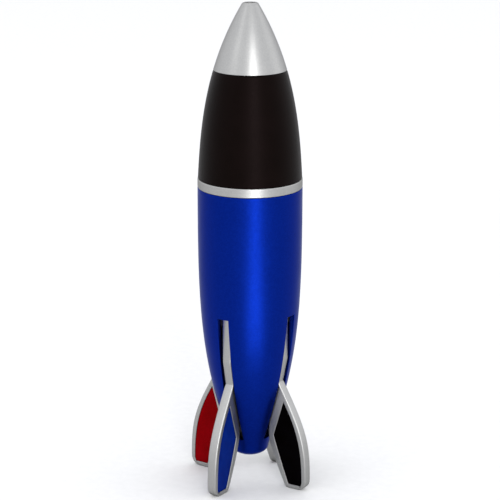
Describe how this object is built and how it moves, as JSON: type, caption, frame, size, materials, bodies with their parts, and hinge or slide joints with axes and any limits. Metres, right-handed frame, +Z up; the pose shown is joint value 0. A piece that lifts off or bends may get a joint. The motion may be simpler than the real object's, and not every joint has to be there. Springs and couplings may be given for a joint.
{
  "type": "four-colour ballpoint pen",
  "caption": "Rocket-shaped multi-colour ballpoint pen that stands on its sliding fins; each fin pushes one leaning refill out of the nose, and the grip section unscrews.",
  "frame": {"origin": "on the floor under the tail, on the barrel's axis, level with the feet of the fins", "axes": "+Z up through the nose; +X towards the black fin, +Y green, -X red, -Y blue"},
  "size_m": [0.0404, 0.0404, 0.1407],
  "materials": {
    "blue_metallic_barrel": "satin metallic blue",
    "satin_silver": "satin metallic silver",
    "grip_rubber": "soft matte",
    "black_plastic": "moulded",
    "refill_tube": "translucent extruded",
    "nib_metal": "turned",
    "ball_steel": "ground carbide",
    "spring_steel": "drawn wire",
    "inlay_black": "satin moulded",
    "ink_black": "ink",
    "inlay_green": "satin moulded",
    "ink_green": "ink",
    "inlay_red": "satin moulded",
    "ink_red": "ink",
    "inlay_blue": "satin moulded",
    "ink_blue": "ink"
  },
  "bodies": {
    "root": {"barrel": "blue_metallic_barrel", "guide_core": "black_plastic", "spring_plate": "black_plastic", "coupling_sleeve": "black_plastic", "spring_black": "spring_steel", "spring_green": "spring_steel", "spring_red": "spring_steel", "spring_blue": "spring_steel"},
    "slider_black": {"fin_frame_black": "satin_silver", "fin_inlay_black": "inlay_black", "carriage_black": "black_plastic", "refill_tube_black": "refill_tube", "ink_black": "ink_black", "nib_black": "nib_metal", "ball_black": "ball_steel"},
    "slider_green": {"fin_frame_green": "satin_silver", "fin_inlay_green": "inlay_green", "carriage_green": "black_plastic", "refill_tube_green": "refill_tube", "ink_green": "ink_green", "nib_green": "nib_metal", "ball_green": "ball_steel"},
    "slider_red": {"fin_frame_red": "satin_silver", "fin_inlay_red": "inlay_red", "carriage_red": "black_plastic", "refill_tube_red": "refill_tube", "ink_red": "ink_red", "nib_red": "nib_metal", "ball_red": "ball_steel"},
    "slider_blue": {"fin_frame_blue": "satin_silver", "fin_inlay_blue": "inlay_blue", "carriage_blue": "black_plastic", "refill_tube_blue": "refill_tube", "ink_blue": "ink_blue", "nib_blue": "nib_metal", "ball_blue": "ball_steel"},
    "ring": {"trim_ring": "satin_silver"},
    "front": {"grip_core": "black_plastic", "rubber_grip": "grip_rubber", "nose_cone": "satin_silver"}
  },
  "joints": [
    {"name": "push_black", "type": "slide", "parent": "root", "child": "slider_black", "axis": [0, 0, 1], "range_m": [0, 0.009], "stiffness_N_per_m": 150, "springref_m": -0.008, "deforming": ["spring_black"]},
    {"name": "push_green", "type": "slide", "parent": "root", "child": "slider_green", "axis": [0, 0, 1], "range_m": [0, 0.009], "stiffness_N_per_m": 150, "springref_m": -0.008, "deforming": ["spring_green"]},
    {"name": "push_red", "type": "slide", "parent": "root", "child": "slider_red", "axis": [0, 0, 1], "range_m": [0, 0.009], "stiffness_N_per_m": 150, "springref_m": -0.008, "deforming": ["spring_red"]},
    {"name": "push_blue", "type": "slide", "parent": "root", "child": "slider_blue", "axis": [0, 0, 1], "range_m": [0, 0.009], "stiffness_N_per_m": 150, "springref_m": -0.008, "deforming": ["spring_blue"]},
    {"name": "front_lift", "type": "slide", "parent": "root", "child": "ring", "axis": [0, 0, 1], "range_m": [0, 0.004]},
    {"name": "front_turn", "type": "hinge", "parent": "ring", "child": "front", "pos_m": [0, 0, 0.091], "axis": [0, 0, 1], "range_deg": [0, 1440]}
  ],
  "couplings": [
    {"joint": "front_turn", "follows": "front_lift", "rad_per_m": 6283.2}
  ]
}
